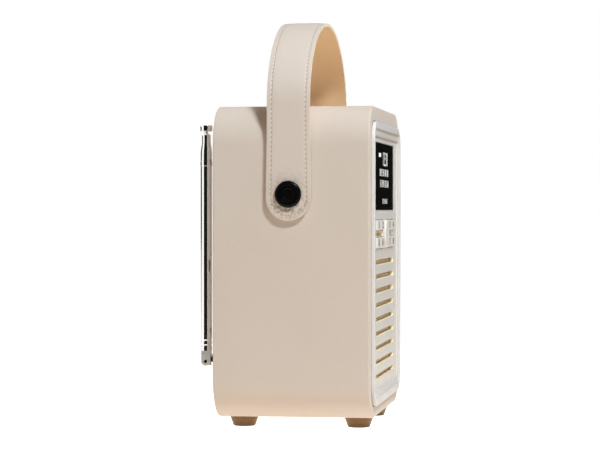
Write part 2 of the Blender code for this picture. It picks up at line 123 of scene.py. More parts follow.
def soft_lamp(name, place, size, watts, tint=(1.0, 1.0, 1.0)):
    """A square lamp that faces the middle of the radio."""
    lamp = bpy.data.lights.new(name, "AREA")
    lamp.size = size
    lamp.energy = watts
    lamp.color = tint
    obj = placed(name, lamp)
    obj.location = place
    aim = Vector((0.0, 0.0, 0.125)) - obj.location
    obj.rotation_euler = aim.to_track_quat("-Z", "Y").to_euler()


floor_bm = bmesh.new()
bmesh.ops.create_grid(floor_bm, x_segments=1, y_segments=1, size=6.0)
floor = placed("floor", mesh_of(floor_bm, "floor"))
floor_look = bpy.data.materials.new("pale floor")
floor_look.use_nodes = True
floor_tree = floor_look.node_tree
floor_shader = floor_tree.nodes["Principled BSDF"]
floor_shader.inputs["Base Color"].default_value = (0.4, 0.37, 0.33, 1.0)
floor_shader.inputs["Roughness"].default_value = 0.9
# Seen directly, the floor is lit up to white, as a studio backdrop is. What it throws
# back on to the radio is weaker and warmer, and strongest close to the radio.
floor_seen = floor_tree.nodes.new("ShaderNodeLightPath").outputs["Is Camera Ray"]
FLOOR_BOUNCE, FLOOR_WHITE = (0.66, 0.585, 0.515, 1.0), (1.0, 1.0, 1.0, 1.0)
floor_glow = blend_colours(floor_tree, floor_seen, FLOOR_BOUNCE, FLOOR_WHITE)
floor_tree.links.new(floor_glow, floor_shader.inputs["Emission Color"])
floor_place = floor_tree.nodes.new("ShaderNodeTexCoord").outputs["Object"]
floor_reach = vector_maths(floor_tree, "LENGTH", floor_place)
floor_pool = ramp(floor_tree, floor_reach, 0.14, 0.3, 1.45, 1.0)
floor_tree.links.new(floor_pool, floor_shader.inputs["Emission Strength"])
floor.data.materials.append(floor_look)

world = bpy.data.worlds.new("studio")
bpy.context.scene.world = world
world.use_nodes = True
sky = world.node_tree
backdrop = sky.nodes["Background"]
backdrop.inputs["Color"].default_value = (1.0, 1.0, 1.0, 1.0)
daylight = shader_node(sky, "ShaderNodeBackground", Color=(1.0, 0.82, 0.64, 1.0), Strength=0.1)
# What shines in polished metal: a dark studio with a grey wall behind the radio.
direction = sky.nodes.new("ShaderNodeTexCoord").outputs["Generated"]
sky_parts = shader_node(sky, "ShaderNodeSeparateXYZ", Vector=direction)
rear = times(sky, sky_parts.outputs["X"], 4.0, clamp=True)
aside = times(sky, sky_parts.outputs["Y"], 3.0, clamp=True)
grey_wall = maths(sky, "MULTIPLY_ADD", times(sky, rear, aside), 0.12, 0.004)
shine = shader_node(sky, "ShaderNodeBackground", Color=grey_wall)
rays = sky.nodes.new("ShaderNodeLightPath")
lit_by = blend_shaders(sky, rays.outputs["Is Glossy Ray"], daylight.outputs[0], shine.outputs[0])
shown = blend_shaders(sky, rays.outputs["Is Camera Ray"], lit_by, backdrop.outputs[0])
sky.links.new(shown, sky.nodes["World Output"].inputs["Surface"])
bpy.context.scene.view_settings.view_transform = "Standard"

soft_lamp("key_lamp", (-0.78, -0.60, 1.15), 0.22, 18.5, (0.86, 0.95, 1.0))
soft_lamp("top_lamp", (0.05, -0.45, 1.5), 0.5, 5.5, (1.0, 0.98, 0.97))
soft_lamp("front_lamp", (0.6, -1.7, 1.0), 0.8, 2.5)
soft_lamp("rear_lamp", (0.3, 1.4, 0.9), 0.8, 11.0, (1.0, 0.95, 0.88))


def studio_card(name, start, end, high, glow=0.0):
    """A card that only reflections see, black or glowing. It gives metal its stripes."""
    card_bm = bmesh.new()
    low_edge = card_bm.edges.new([card_bm.verts.new((x, y, 0.0)) for x, y in (start, end)])
    raised = bmesh.ops.extrude_edge_only(card_bm, edges=[low_edge])
    top = [v for v in raised["geom"] if isinstance(v, bmesh.types.BMVert)]
    bmesh.ops.translate(card_bm, vec=(0.0, 0.0, high), verts=top)
    card = placed(name, mesh_of(card_bm, name))
    card_look = bpy.data.materials.new(name)
    card_look.use_nodes = True
    card_shader = card_look.node_tree.nodes["Principled BSDF"]
    card_shader.inputs["Base Color"].default_value = (0.01, 0.01, 0.01, 1.0)
    card_shader.inputs["Roughness"].default_value = 1.0
    card_shader.inputs["Specular IOR Level"].default_value = 0.0
    card_shader.inputs["Emission Color"].default_value = (1.0, 1.0, 1.0, 1.0)
    card_shader.inputs["Emission Strength"].default_value = glow
    card.data.materials.append(card_look)
    card.visible_camera = False
    card.visible_diffuse = False
    card.visible_shadow = False


studio_card("side_card", (-0.40, -0.32), (-0.44, 0.40), 0.6)
studio_card("far_card", (0.9, -0.5), (0.9, 0.06), 0.9)
studio_card("bright_card", (-0.43, 0.42), (-0.1, 0.55), 0.6, 1.2)

# The camera looks at the radio's left side from a little in front of it.
camera_data = bpy.data.cameras.new("camera")
camera_data.sensor_width = 36.0
camera_data.lens = 134.0
camera = placed("camera", camera_data)
camera.location = (-1.4475, -0.2113, 0.137)
camera.rotation_euler = (math.radians(90 - 0.362), 0.0, math.radians(-90 + 8.41))
bpy.context.scene.camera = camera

# The case: a board sleeve with a skin of fine-grained beige leather glued round it
# and folded over both ends. The fold is thin, so the front and back edges are crisp.
MM = 0.001
case_low, case_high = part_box("leather_wrap")
CASE_Y = (case_low.y + case_high.y) / 2 / MM
CASE_W = (case_high.x - case_low.x) / MM
CASE_H = (case_high.z - case_low.z) / MM
CASE_D = (case_high.y - case_low.y) / MM
CASE_Z = (case_low.z + case_high.z) / 2 / MM
CASE_R, CASE_FOLD, LEATHER_THICK = 25.2, 1.1, 0.8
FRONT = -CASE_D / 2
BACK = CASE_D / 2
PANEL_W, PANEL_H, PANEL_R, PANEL_Z = 152.4, 174.0, 12.6, 104.1


def at(x, y, z):
    """A point in the case's own millimetres, as a place in the scene."""
    return Vector((x, y + CASE_Y, z)) * MM


def noise(tree, place, scale, detail=2.0, **inputs):
    """A cloudy mask over a surface."""
    inputs.update(Vector=place, Scale=scale, Detail=detail)
    return shader_node(tree, "ShaderNodeTexNoise", **inputs).outputs["Fac"]


def new_group(name, finish, value):
    """A shader group for a surface: it takes two tones and a finish, and gives its maps."""
    group = bpy.data.node_groups.new(name, "ShaderNodeTree")
    inputs = {
        "Vector": ("NodeSocketVector", (0.0, 0.0, 0.0)),
        "Base": ("NodeSocketColor", (0.6, 0.6, 0.6, 1.0)),
        "Shade": ("NodeSocketColor", (0.5, 0.5, 0.5, 1.0)),
        finish: ("NodeSocketFloat", value),
    }
    for label, (kind, default) in inputs.items():
        socket = group.interface.new_socket(label, in_out="INPUT", socket_type=kind)
        socket.default_value = default
    for label, kind in (("Color", "Color"), ("Height", "Float"), ("Roughness", "Float")):
        group.interface.new_socket(label, in_out="OUTPUT", socket_type="NodeSocket" + kind)
    taken, given = group.nodes.new("NodeGroupInput"), group.nodes.new("NodeGroupOutput")
    return group, taken.outputs, given.inputs


def place_group(tree, group, **values):
    """A shader group placed in a material with its own values."""
    node = tree.nodes.new("ShaderNodeGroup")
    node.node_tree = group
    for name, value in values.items():
        put(tree, node.inputs[name], value)
    return node.outputs


def look(name, **constants):
    """A material with a Principled shader, and its tree, shader and object coordinates."""
    made = bpy.data.materials.new(name)
    made.use_nodes = True
    tree = made.node_tree
    shader = tree.nodes["Principled BSDF"]
    for key, value in constants.items():
        shader.inputs[key.replace("_", " ")].default_value = value
    coordinates = tree.nodes.new("ShaderNodeTexCoord").outputs["Object"]
    return made, tree, shader, coordinates


def give_bump(tree, shader, height, depth):
    """Relief from a height map; depth is the height's full range in metres."""
    bump = shader_node(tree, "ShaderNodeBump", Height=height, Strength=1.0, Distance=depth)
    tree.links.new(bump.outputs["Normal"], shader.inputs["Normal"])


def skinned(name, group, depth, constants, **values):
    """A material with one shader group's colour, roughness and relief."""
    made, tree, shader, coordinates = look(name, **constants)
    skin = place_group(tree, group, Vector=coordinates, **values)
    tree.links.new(skin["Color"], shader.inputs["Base Color"])
    tree.links.new(skin["Roughness"], shader.inputs["Roughness"])
    give_bump(tree, shader, skin["Height"], depth)
    return made


# Leather grain: pebbles of about half a millimetre, pores, and slow changes of tone.
grain, grain_in, grain_out = new_group("leather grain", "Scale", 1.0)
spread = vector_maths(grain, "SCALE", grain_in["Vector"], None, None, grain_in["Scale"])
warp = shader_node(grain, "ShaderNodeTexNoise", Vector=spread, Scale=260.0, Detail=3.0)
WARP = (0.0016, 0.0016, 0.0016)
warped = vector_maths(grain, "MULTIPLY_ADD", warp.outputs["Color"], WARP, spread)
pebbles = grain.nodes.new("ShaderNodeTexVoronoi")
pebbles.feature = "SMOOTH_F1"
pebbles.inputs["Scale"].default_value = 1500.0
pebbles.inputs["Smoothness"].default_value = 0.35
grain.links.new(warped, pebbles.inputs["Vector"])
pebble_edges = pebbles.outputs["Distance"]
pebble_height = times(grain, maths(grain, "SUBTRACT", 1.0, pebble_edges), 0.6)
crease_height = times(grain, noise(grain, spread, 900.0, 4.0, Roughness=0.6), 0.45)
grain.links.new(maths(grain, "ADD", crease_height, pebble_height), grain_out["Height"])
clouds = noise(grain, spread, 16.0, 5.0, Roughness=0.55)
slow_tone = times(grain, ramp(grain, clouds, 0.35, 0.72), 0.45)
fine_tone = times(grain, ramp(grain, pebble_edges, 0.35, 0.85), 0.35)
tone = maths(grain, "ADD", slow_tone, fine_tone, clamp=True)
toned = blend_colours(grain, tone, grain_in["Base"], grain_in["Shade"])
grain.links.new(toned, grain_out["Color"])
grain.links.new(maths(grain, "MULTIPLY_ADD", clouds, 0.18, 0.44), grain_out["Roughness"])


def leather(name, base, shade, scale=1.0, depth=0.00006, **constants):
    return skinned(name, grain, depth, constants, Base=base, Shade=shade, Scale=scale)


def new_piece(bm, name, material, body, node_names=(), smooth=30.0):
    """A finished piece from a bmesh, smooth except where it turns sharply, on its body."""
    mesh = mesh_of(bm, name)
    mesh.materials.append(material)
    mesh.polygons.foreach_set("use_smooth", [smooth > 0] * len(mesh.polygons))
    obj = placed(name, mesh)
    if smooth > 0:
        mesh.set_sharp_from_angle(angle=math.radians(smooth))
        # Flat faces stay flat right up to their rounded edges.
        flat = obj.modifiers.new("flat faces", "WEIGHTED_NORMAL")
        flat.keep_sharp = True
    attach(obj, body)
    if node_names:
        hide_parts(*node_names)
    return obj


def bevelled(bm, geom, size, segments, affect="EDGES", clamp=False):
    """Round some edges or corners of a bmesh, by a size in millimetres."""
    bmesh.ops.bevel(
        bm,
        geom=geom,
        offset=size * MM,
        offset_type="OFFSET",
        affect=affect,
        segments=segments,
        profile=0.5,
        material=-1,
        clamp_overlap=clamp,
    )


def round_plate(width, height, radius, middle_z, y, segments=16, middle_x=0.0):
    """A bmesh holding one flat rounded rectangle that faces the front."""
    bm = bmesh.new()
    bmesh.ops.create_grid(bm, x_segments=1, y_segments=1, size=0.5)
    turn = Matrix.Rotation(math.radians(90), 4, "X")
    size = Matrix.Diagonal((width * MM, 1.0, height * MM, 1.0))
    move = Matrix.Translation(at(middle_x, y, middle_z))
    bmesh.ops.transform(bm, matrix=move @ size @ turn, verts=bm.verts)
    bevelled(bm, list(bm.verts), radius, segments, "VERTICES")
    return bm


def push_out(bm, face, depth):
    """Extrude a face along Y and give back the new face."""
    made = bmesh.ops.extrude_face_region(bm, geom=[face])
    verts = [v for v in made["geom"] if isinstance(v, bmesh.types.BMVert)]
    bmesh.ops.translate(bm, vec=(0.0, depth * MM, 0.0), verts=verts)
    bmesh.ops.delete(bm, geom=[face], context="FACES")
    return next(f for f in made["geom"] if isinstance(f, bmesh.types.BMFace))


case_bm = round_plate(CASE_W, CASE_H, CASE_R, CASE_Z, FRONT, 24)
push_out(case_bm, case_bm.faces[:][0], CASE_D)
bmesh.ops.holes_fill(case_bm, edges=[e for e in case_bm.edges if e.is_boundary])
case_bm.faces.ensure_lookup_table()
caps = [f for f in case_bm.faces if len(f.verts) > 8]
lips = set()
for cap in caps:
    y = cap.calc_center_median().y / MM - CASE_Y
    lip_bm = round_plate(PANEL_W + 0.8, PANEL_H + 0.8, PANEL_R + 0.4, PANEL_Z, y, 24)
    lip_points = [case_bm.verts.new(v.co) for v in lip_bm.faces[:][0].verts]
    lip_bm.free()
    lip_edges = [
        case_bm.edges.new((lip_points[i], lip_points[i - 1])) for i in range(len(lip_points))
    ]
    rim_edges = list(cap.edges)
    bmesh.ops.delete(case_bm, geom=[cap], context="FACES_ONLY")
    bmesh.ops.bridge_loops(case_bm, edges=rim_edges + lip_edges)
    inward = bmesh.ops.extrude_edge_only(case_bm, edges=lip_edges)
    inner = [v for v in inward["geom"] if isinstance(v, bmesh.types.BMVert)]
    bmesh.ops.translate(case_bm, vec=(0.0, math.copysign(1.0, -y) * MM, 0.0), verts=inner)
    lips.update(inner)
bmesh.ops.recalc_face_normals(case_bm, faces=case_bm.faces)
fold = [
    e
    for e in case_bm.edges
    if len(e.link_faces) == 2
    and all(abs(abs(v.co.y / MM - CASE_Y) - BACK) < 0.01 for v in e.verts)
    and e.calc_face_angle(0) > 1.0
    and not lips.intersection(e.verts)
]
bevelled(case_bm, fold, CASE_FOLD, 5)
bmesh.ops.solidify(case_bm, geom=case_bm.faces[:], thickness=LEATHER_THICK * MM)
SOFT_SHEEN = {"Specular_IOR_Level": 0.35, "Sheen_Weight": 0.15, "Sheen_Roughness": 0.4}
beige_leather = leather(
    "beige case leather", (0.60, 0.517, 0.455, 1.0), (0.56, 0.47, 0.40, 1.0), **SOFT_SHEEN
)
new_piece(case_bm, "leather_case", beige_leather, "cabinet", ["leather_wrap"], 50.0)

# The fascia: one warm white moulding with a raised rim, a stepped inner wall and a
# sunk field. Its window, key openings and sound slots are moulded in, with soft edges.
RIM_OVER, RIM_W, RIM_SLOPE, RIM_PROUD, RIM_STEP = 1.8, 4.4, 5.0, 2.2, 0.75
RIM_EDGE, FLANGE_LIFT = 0.7, 0.02
FASCIA_BACK = FRONT + 2.5
moulded, moulded_in, moulded_out = new_group("moulded plastic", "Gloss", 0.4)
moulded.links.new(noise(moulded, moulded_in["Vector"], 2600.0, 3.0), moulded_out["Height"])
cloud_share = times(moulded, noise(moulded, moulded_in["Vector"], 22.0, 4.0), 0.35)
moulded_tone = blend_colours(moulded, cloud_share, moulded_in["Base"], moulded_in["Shade"])
moulded.links.new(moulded_tone, moulded_out["Color"])
handled = maths(moulded, "SUBTRACT", noise(moulded, moulded_in["Vector"], 60.0, 5.0), 0.5)
handled = times(moulded, handled, 0.25)
handled = maths(moulded, "ADD", moulded_in["Gloss"], handled, clamp=True)
moulded.links.new(handled, moulded_out["Roughness"])


def plastic(name, base, shade, gloss, depth=0.00002, **constants):
    return skinned(name, moulded, depth, constants, Base=base, Shade=shade, Gloss=gloss)


def turned(profile, centre, axis, steps=48):
    """Spin a profile of (radius, distance along the axis), in millimetres, into a solid."""
    along = Vector(axis).normalized()
    side = Vector((0, 0, 1)) if abs(along.z) < 0.5 else Vector((1, 0, 0))
    bm = bmesh.new()
    points = [bm.verts.new(centre + (along * d + side * r) * MM) for r, d in profile]
    pairs = list(zip(points, points[1:]))
    if profile[0][0] > 0:
        pairs.append((points[-1], points[0]))
    lines = [bm.edges.new(pair) for pair in pairs]
    bmesh.ops.spin(
        bm,
        geom=points + lines,
        cent=centre,
        axis=along,
        angle=2 * math.pi,
        steps=steps,
        use_merge=True,
    )
    bmesh.ops.remove_doubles(bm, verts=bm.verts, dist=1e-6)
    bmesh.ops.recalc_face_normals(bm, faces=bm.faces)
    return bm


def block(low, high, edge=0.0, segments=3):
    """A box between two corners, with its edges rounded."""
    bm = bmesh.new()
    size = Matrix.Diagonal((*((h - l) * MM for l, h in zip(low, high)), 1.0))
    middle = at(*((h + l) / 2 for l, h in zip(low, high)))
    bmesh.ops.create_cube(bm, size=1.0, matrix=Matrix.Translation(middle) @ size)
    if edge > 0:
        bevelled(bm, bm.edges[:], edge, segments)
    return bm


def joined(shapes):
    """Several bmeshes as one."""
    whole = bmesh.new()
    for shape in shapes:
        piece = mesh_of(shape, "shape")
        whole.from_mesh(piece)
        bpy.data.meshes.remove(piece)
    return whole


def bar(centre, axis, radius, start, end, steps=32):
    return turned([(0, start), (radius, start), (radius, end), (0, end)], centre, axis, steps)


def thick_plate(width, height, radius, middle_z, y, depth, middle_x=0.0, segments=8):
    """A rounded plate from a depth backwards, closed all round."""
    bm = round_plate(width, height, radius, middle_z, y, segments, middle_x)
    push_out(bm, bm.faces[:][0], depth)
    bmesh.ops.holes_fill(bm, edges=[e for e in bm.edges if e.is_boundary])
    bmesh.ops.recalc_face_normals(bm, faces=bm.faces)
    return bm


def final_bmesh(obj):
    """An object's shape with its modifiers applied, as a bmesh. The object is removed."""
    bpy.context.view_layer.update()
    graph = bpy.context.evaluated_depsgraph_get()
    mesh = bpy.data.meshes.new_from_object(obj.evaluated_get(graph))
    bm = bmesh.new()
    bm.from_mesh(mesh)
    bpy.data.meshes.remove(mesh)
    bpy.data.objects.remove(obj)
    return bm


def carved(bm, cutters, edge, segments=3):
    """Cut closed shapes from a bmesh and round the sharp edges that are left."""
    objects = []
    for shape in (bm, joined(cutters)):
        bmesh.ops.recalc_face_normals(shape, faces=shape.faces)
        objects.append(placed("blank", mesh_of(shape, "blank")))
    body, tool = objects
    opening = body.modifiers.new("openings", "BOOLEAN")
    opening.operation = "DIFFERENCE"
    opening.solver = "EXACT"
    opening.object = tool
    rounding = body.modifiers.new("edges", "BEVEL")
    rounding.width = edge * MM
    rounding.segments = segments
    rounding.limit_method = "ANGLE"
    rounding.angle_limit = math.radians(35)
    made = final_bmesh(body)
    bpy.data.objects.remove(tool)
    return made


RIM_OUT_W, RIM_OUT_H = PANEL_W + 2 * RIM_OVER, PANEL_H + 2 * RIM_OVER
RIM_OUT_R = PANEL_R + RIM_OVER
fascia_bm = round_plate(RIM_OUT_W, RIM_OUT_H, RIM_OUT_R, PANEL_Z, FRONT - FLANGE_LIFT)
shell = bmesh.ops.extrude_face_region(fascia_bm, geom=[fascia_bm.faces[:][0]])
rim_face = next(f for f in shell["geom"] if isinstance(f, bmesh.types.BMFace))
rim_push = (0.0, (FLANGE_LIFT - RIM_PROUD) * MM, 0.0)
bmesh.ops.translate(fascia_bm, vec=rim_push, verts=list(rim_face.verts))
bmesh.ops.recalc_face_normals(fascia_bm, faces=fascia_bm.faces)
bevelled(fascia_bm, list(rim_face.edges), RIM_EDGE, 4)
broad = [f for f in fascia_bm.faces if len(f.verts) > 8]
rim_face = min(broad, key=lambda f: f.calc_center_median().y)
# The front steps down in four rings: how far in each one reaches, and how much deeper.
RIM_RINGS = (
    (RIM_W - RIM_EDGE, 0.0),
    (0.45, RIM_STEP),
    (RIM_SLOPE - 1.0, RIM_PROUD - 2 * RIM_STEP),
    (0.55, RIM_STEP),
)
for inward, deeper in RIM_RINGS:
    bmesh.ops.inset_region(
        fascia_bm, faces=[rim_face], thickness=inward * MM, use_even_offset=True
    )
    bmesh.ops.translate(fascia_bm, vec=(0.0, deeper * MM, 0.0), verts=list(rim_face.verts))
broad = [f for f in fascia_bm.faces if len(f.verts) > 8]
flange = max(broad, key=lambda f: f.normal.y)
bmesh.ops.inset_region(fascia_bm, faces=[flange], thickness=RIM_OVER * MM, use_even_offset=True)
push_out(fascia_bm, flange, FASCIA_BACK - FRONT + FLANGE_LIFT)

SLOT_TOP, SLOT_PITCH, SLOT_LONG, SLOT_TALL = 104.4, 9.06, 101.6, 3.2
THROUGH = (FRONT - 4.0, 8.0)
fascia_cuts = [
    thick_plate(SLOT_LONG, SLOT_TALL, SLOT_TALL / 2 - 0.02, SLOT_TOP - i * SLOT_PITCH, *THROUGH)
    for i in range(9)
]
LENS_W, LENS_LOW, LENS_HIGH = 109.6, 137.5, 180.5
LENS_MID = (LENS_LOW + LENS_HIGH) / 2
fascia_cuts.append(thick_plate(LENS_W + 0.4, 43.4, 0.6, LENS_MID, *THROUGH, segments=3))
KEY_COLUMNS = (-42.0, -21.0, 21.0, 42.0)
KEY_ROWS = {"upper": (124.6, 131.0), "lower": (113.3, 120.1)}
KEY_W = 19.8
for column in KEY_COLUMNS:
    for low, high in KEY_ROWS.values():
        tall = high - low + 0.8
        fascia_cuts.append(
            thick_plate(KEY_W + 0.3, tall, 0.8, (low + high) / 2, *THROUGH, column, segments=3)
        )
KNOB_AXIS = at(0, 0, 122.2)
NARROW_X, NARROW_W, NARROW_Z = -35.5, 43.0, 122.3
LED_PLACE = at(31.0, 0, NARROW_Z)
fascia_cuts.append(bar(KNOB_AXIS, (0, 1, 0), 9.3, THROUGH[0], THROUGH[0] + 8, 64))
fascia_cuts.append(thick_plate(NARROW_W, 2.4, 1.18, NARROW_Z, *THROUGH, NARROW_X))
fascia_cuts.append(bar(LED_PLACE, (0, 1, 0), 1.3, THROUGH[0], THROUGH[0] + 8, 24))
fascia_bm = carved(fascia_bm, fascia_cuts, 0.4)
slotted = plastic("slotted fascia", (0.675, 0.655, 0.63, 1.0), (0.62, 0.6, 0.565, 1.0), 0.42)
slot_tree = slotted.node_tree
slot_shader = slot_tree.nodes["Principled BSDF"]
slot_coordinates = slot_tree.nodes.new("ShaderNodeTexCoord").outputs["Object"]
slot_parts = shader_node(slot_tree, "ShaderNodeSeparateXYZ", Vector=slot_coordinates)
slot_x, slot_y, slot_z = slot_parts.outputs


def off_level(level):
    """How far a point on the fascia is above or below a level, in metres."""
    return maths(slot_tree, "ABSOLUTE", maths(slot_tree, "SUBTRACT", slot_z, level))


# The rim is whiter than the field, and painted shade darkens the lines under its top.
sunk = ramp(slot_tree, slot_y, at(0, FRONT - 2.0, 0).y, at(0, FRONT - 1.2, 0).y)
slot_skin = slot_shader.inputs["Base Color"].links[0].from_socket
field_tone = blend_colours(slot_tree, sunk, (0.655, 0.645, 0.645, 1.0), slot_skin)
SHADED_CREASES = ((0.18805, 0.0009), (0.18365, 0.0012))
CREASE_REACH = 0.0705
crease_shades = []
for level, spread_over in SHADED_CREASES:
    away = maths(slot_tree, "DIVIDE", off_level(level), spread_over)
    crease_shades.append(maths(slot_tree, "SUBTRACT", 1.0, away, clamp=True))
between = maths(slot_tree, "LESS_THAN", maths(slot_tree, "ABSOLUTE", slot_x), CREASE_REACH)
between = times(slot_tree, between, 0.85)
crease_shade = times(slot_tree, maths(slot_tree, "MAXIMUM", *crease_shades), between)
field_tone = blend_colours(slot_tree, crease_shade, field_tone, (0.30, 0.27, 0.24, 1.0))
# Painted light: the inner walls of the slots carry the golden glow that the cloth behind them
# throws back on to them.
deep = ramp(slot_tree, slot_y, at(0, FRONT + 0.08, 0).y, at(0, FRONT + 0.3, 0).y)
low_down = maths(slot_tree, "LESS_THAN", slot_z, (SLOT_TOP + SLOT_PITCH / 2) * MM)
narrow = maths(slot_tree, "LESS_THAN", off_level(NARROW_Z * MM), 0.0016)
on_left = maths(slot_tree, "LESS_THAN", slot_x, -0.012)
narrow = times(slot_tree, narrow, on_left)
painted_cloth_glow = times(slot_tree, deep, maths(slot_tree, "MAXIMUM", low_down, narrow))
slot_tone = blend_colours(slot_tree, painted_cloth_glow, field_tone, (0.90, 0.78, 0.54, 1.0))
slot_tree.links.new(slot_tone, slot_shader.inputs["Base Color"])
new_piece(fascia_bm, "fascia", slotted, "cabinet", ["front_fascia"], 38.0)

# The gap line: a thin dark ring between the fascia's rim and the leather, a painted shadow for
# the dark gap under the rim.
# It shows as a fine line.
gap_shade_bm = thick_plate(RIM_OUT_W - 0.4, RIM_OUT_H + 1.1, RIM_OUT_R, PANEL_Z, FRONT - 0.09, 0.08)
gap_shade_hole = thick_plate(PANEL_W + 1.0, PANEL_H + 1.0, PANEL_R + 0.5, PANEL_Z, *THROUGH)
gap_shade_bm = carved(gap_shade_bm, [gap_shade_hole], 0.02, 1)
gap_shade_look = plastic("dark gap shade", (0.05, 0.04, 0.03, 1.0), (0.03, 0.025, 0.02, 1.0), 0.7)
new_piece(gap_shade_bm, "fascia_gap_shade", gap_shade_look, "cabinet")

# The display: a glossy black window over a dark screen, lit with pale numerals, as on
# a tuning scale. The numerals are a thin print right on the window's face.
window_look, window_tree, window_shader, window_place = look(
    "black window", Base_Color=(0.0012, 0.0009, 0.0008, 1.0), Specular_IOR_Level=0.18
)
smears = ramp(window_tree, noise(window_tree, window_place, 45.0, 6.0), 0.0, 1.0, 0.02, 0.08)
window_tree.links.new(smears, window_shader.inputs["Roughness"])
lens_bm = block((-LENS_W / 2, FRONT + 0.2, LENS_LOW), (LENS_W / 2, FRONT + 2.3, LENS_HIGH), 0.35)
new_piece(lens_bm, "display_window", window_look, "cabinet", ["display_lens"], 40.0)
PRINT_THICK = 0.04


def figures(text, height, x, y, z, thin=0.0, wide=1.0):
    """Printed numerals, standing up and facing the front, centred on a place."""
    curve = bpy.data.curves.new("figures", "FONT")
    curve.body = text
    curve.align_x = "CENTER"
    curve.align_y = "CENTER"
    curve.size = height * MM * 1.4
    curve.extrude = PRINT_THICK * MM / 2
    curve.offset = -thin * MM
    curve.resolution_u = 4
    bm = final_bmesh(placed("figures", curve))
    stretch = Matrix.Diagonal((wide, 1.0, 1.0, 1.0))
    stand = Matrix.Translation(at(x, y, z)) @ Matrix.Rotation(math.radians(90), 4, "X") @ stretch
    bmesh.ops.transform(bm, matrix=stand, verts=bm.verts)
    bmesh.ops.remove_doubles(bm, verts=bm.verts, dist=1e-7)
    return bm


def flecked(name, scale, detail, first, second, depth=0.0, **constants):
    """A material that wanders between two tones, with relief to match."""
    made, tree, shader, coordinates = look(name, **constants)
    flecks = noise(tree, coordinates, scale, detail)
    tree.links.new(blend_colours(tree, flecks, first, second), shader.inputs["Base Color"])
    if depth > 0:
        give_bump(tree, shader, flecks, depth)
    return made, tree, shader


lit, lit_tree, lit_shader = flecked(
    "lit numerals", 400.0, 2.0, (0.9, 0.9, 0.86, 1.0), (0.75, 0.76, 0.74, 1.0), Roughness=0.5
)
lit_tone = lit_shader.inputs["Base Color"].links[0].from_socket
lit_tree.links.new(lit_tone, lit_shader.inputs["Emission Color"])
lit_shader.inputs["Emission Strength"].default_value = 0.3
SCREEN = FRONT + 0.17
shown_figures = [
    figures("12:30", 9.3, 2.5, SCREEN, 170.0, 0.12),
    figures("88 92 96 100 108", 5.0, -4.0, SCREEN, 161.4, 0.1),
    figures("54 70 90 120 160", 5.0, -2.5, SCREEN, 154.3, 0.1),
    figures("0 1 2 3 4 5 6 7", 3.4, 1.5, SCREEN, 143.1, 0.05),
    block((-34.0, SCREEN - 0.02, 171.5), (-21.5, SCREEN + 0.02, 174.0)),
]
new_piece(joined(shown_figures), "display_figures", lit, "cabinet", (), 0)

# The keys: small white rockers that stand a millimetre out of the fascia, each with a
# dark printed numeral. A flange behind the fascia keeps them in.
key_white = plastic("white key", (0.76, 0.735, 0.69, 1.0), (0.71, 0.68, 0.63, 1.0), 0.36)
printed = flecked(
    "dark print", 900.0, 2.0, (0.02, 0.018, 0.016, 1.0), (0.05, 0.046, 0.04, 1.0), Roughness=0.6
)[0]
KEY_FACE = FRONT - 1.0
FLANGE_FRONT, FLANGE_BACK, STEM_BACK = -46.1, -45.3, -44.4
number = 0
for row, (low, high) in KEY_ROWS.items():
    for place_in_row, column in enumerate(KEY_COLUMNS, 1):
        number += 1
        left, right, middle = column - KEY_W / 2, column + KEY_W / 2, (low + high) / 2
        cap = block((left, KEY_FACE, low), (right, FLANGE_FRONT, high), 0.55, 4)
        key_flange = block(
            (left - 0.4, FLANGE_FRONT, low - 0.4), (right + 0.4, FLANGE_BACK, high + 0.4)
        )
        stem = block(
            (column - 2, FLANGE_BACK, middle - 1.5), (column + 2, STEM_BACK, middle + 1.5)
        )
        key_bm = joined([cap, key_flange, stem])
        node = f"key_{row}_{place_in_row}"
        new_piece(key_bm, node + "_cap", key_white, node, [node], 40.0)
        print_bm = figures(str(number), 3.8, column, KEY_FACE - 0.015, middle, -0.22, 1.9)
        new_piece(print_bm, node + "_print", printed, node, (), 0)

# The knob: a smooth white disc with a shallow dish and a soft edge, pushed on to the
# encoder's shaft. It turns, and clicks when it is pressed.
KNOB = [
    (0, FRONT - 1.35), (5.2, FRONT - 1.45), (7.2, FRONT - 1.75), (7.9, FRONT - 1.8),
    (8.5, FRONT - 1.68), (8.85, FRONT - 1.35), (9.0, FRONT - 0.9), (9.0, FRONT + 2.9),
    (1.8, FRONT + 2.9), (1.8, FRONT - 0.3), (0, FRONT - 0.3),
]
knob_bm = turned(KNOB, KNOB_AXIS, (0, 1, 0), 64)
new_piece(knob_bm, "knob", key_white, "knob", ["select_knob"], 35.0)

# The indicator: a small lens of smoked plastic, pressed into a hole in the fascia between
# the key rows.
LED_LENS = [
    (0, FRONT - 0.35), (0.6, FRONT - 0.28), (1.0, FRONT - 0.1), (1.15, FRONT + 0.2),
    (1.15, -46.8), (0, -46.8),
]
smoked = plastic("smoked lens", (0.06, 0.05, 0.045, 1.0), (0.03, 0.03, 0.03, 1.0), 0.15)
led_bm = turned(LED_LENS, LED_PLACE, (0, 1, 0), 24)
new_piece(led_bm, "indicator", smoked, "cabinet", ["power_led"])

# Golden brown cloth is stretched behind the sound slots, and behind the narrow slot
# between the key rows. It is a plain weave, so its look is enough on the flat sheets.
cloth, cloth_tree, cloth_shader, cloth_place = look("golden grille cloth", Roughness=0.85)
cloth_shader.inputs["Sheen Weight"].default_value = 0.3
cloth_x, _, cloth_z = shader_node(cloth_tree, "ShaderNodeSeparateXYZ", Vector=cloth_place).outputs
threads = []
for axis in (cloth_x, cloth_z):
    wave = maths(cloth_tree, "SINE", times(cloth_tree, axis, 7000.0))
    threads.append(maths(cloth_tree, "ABSOLUTE", wave))
weave_height = maths(cloth_tree, "MAXIMUM", *threads)
weave_mask = maths(cloth_tree, "POWER", weave_height, 2.0, clamp=True)
weave_tone = blend_colours(
    cloth_tree, weave_mask, (0.60, 0.47, 0.26, 1.0), (0.95, 0.84, 0.60, 1.0)
)
